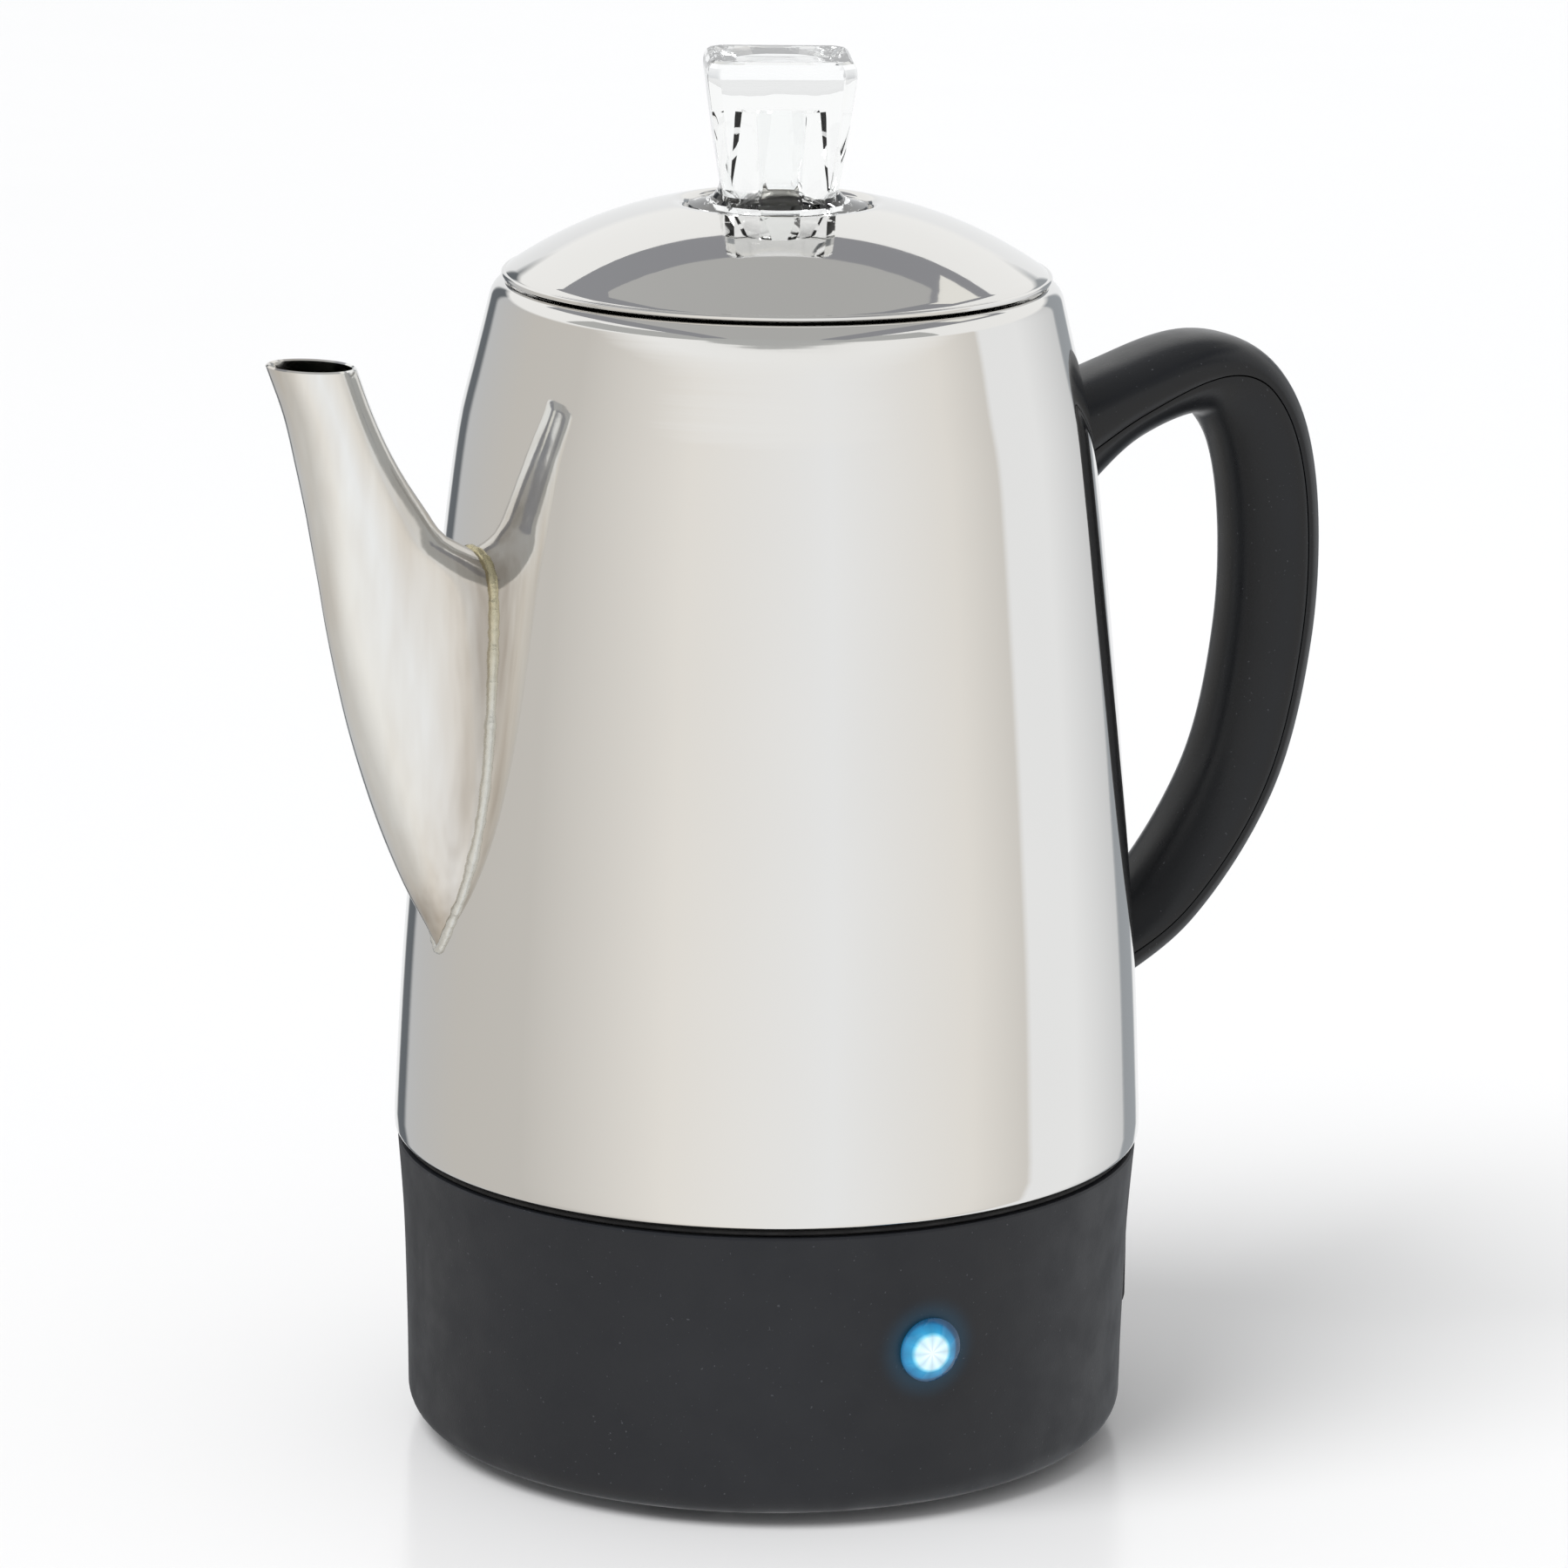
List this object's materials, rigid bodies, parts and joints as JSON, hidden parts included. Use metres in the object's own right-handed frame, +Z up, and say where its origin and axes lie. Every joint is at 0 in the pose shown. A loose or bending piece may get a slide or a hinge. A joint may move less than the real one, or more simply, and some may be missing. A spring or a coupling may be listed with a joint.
{
  "type": "electric coffee percolator",
  "caption": "Electric coffee percolator: tapered polished steel pot on a black heated base, with a curved spout, a black handle, a blue light and a domed lid with a clear glass knob.",
  "frame": {"origin": "middle of the object's footprint box, on the surface that the feet stand on", "axes": "+Z up; +X towards the handle, so the spout points to -X; the indicator light faces -Y"},
  "size_m": [0.2179, 0.1424, 0.2622],
  "materials": {
    "polished_steel": "mirror polish",
    "satin_steel": "satin",
    "plain_steel": "plain",
    "plated_steel": "zinc plated",
    "aluminium": "satin",
    "brass": "nickel-free brass",
    "base_plastic": "fine grain",
    "handle_plastic": "satin",
    "black_rubber": "matte",
    "clear_glass": "clear",
    "blue_lens": "clear, moulded with facets",
    "pale_insulator": "matte, heat resistant",
    "red_insulation": "silicone",
    "white_insulation": "woven sleeve"
  },
  "bodies": {
    "pot": {"vessel": "polished_steel", "spout": "satin_steel", "handle_inner": "handle_plastic", "handle_outer": "handle_plastic", "handle_bracket_upper": "plated_steel", "handle_bracket_lower": "plated_steel", "handle_screw_upper": "plated_steel", "handle_screw_lower": "plated_steel", "base_housing": "base_plastic", "base_plate": "base_plastic", "foot_1": "black_rubber", "foot_2": "black_rubber", "foot_3": "black_rubber", "foot_4": "black_rubber", "base_post_1": "plated_steel", "base_post_2": "plated_steel", "base_post_3": "plated_steel", "base_screw_1": "plated_steel", "base_screw_2": "plated_steel", "base_screw_3": "plated_steel", "base_seal": "black_rubber", "heater_plate": "aluminium", "heating_element": "plated_steel", "keep_warm_heater": "pale_insulator", "thermostat": "pale_insulator", "thermal_fuse": "white_insulation", "indicator_lens": "blue_lens", "indicator_holder": "white_insulation", "indicator_lamp": "clear_glass", "power_inlet": "base_plastic", "inlet_pin_1": "brass", "inlet_pin_2": "brass", "wire_inlet_thermostat": "red_insulation", "wire_thermostat_heater": "red_insulation", "wire_inlet_fuse": "white_insulation", "wire_fuse_heater": "white_insulation", "wire_lamp_a": "white_insulation", "wire_lamp_b": "white_insulation"},
    "stem": {"stem_tube": "plain_steel", "basket_stop": "plain_steel", "pump_foot": "plain_steel"},
    "valve": {"pump_valve": "plain_steel"},
    "basket": {"basket": "aluminium"},
    "cover": {"basket_cover": "aluminium"},
    "lid": {"lid": "polished_steel", "lid_collar": "plain_steel", "knob_gasket": "black_rubber"},
    "knob": {"knob": "clear_glass"}
  },
  "joints": [
    {"name": "stem_lift", "type": "slide", "parent": "pot", "child": "stem", "axis": [0, 0, 1], "range_m": [0, 0.186]},
    {"name": "valve_lift", "type": "slide", "parent": "stem", "child": "valve", "axis": [0, 0, 1], "range_m": [0, 0.002]},
    {"name": "basket_lift", "type": "slide", "parent": "stem", "child": "basket", "axis": [0, 0, 1], "range_m": [0, 0.086]},
    {"name": "cover_lift", "type": "slide", "parent": "basket", "child": "cover", "axis": [0, 0, 1], "range_m": [0, 0.036]},
    {"name": "lid_lift", "type": "slide", "parent": "cover", "child": "lid", "axis": [0, 0, 1], "range_m": [0, 0.04]},
    {"name": "knob_turn", "type": "hinge", "parent": "lid", "child": "knob", "pos_m": [-0.00695, 0, 0.2322], "axis": [0, 0, 1], "range_deg": [0, 90]}
  ]
}
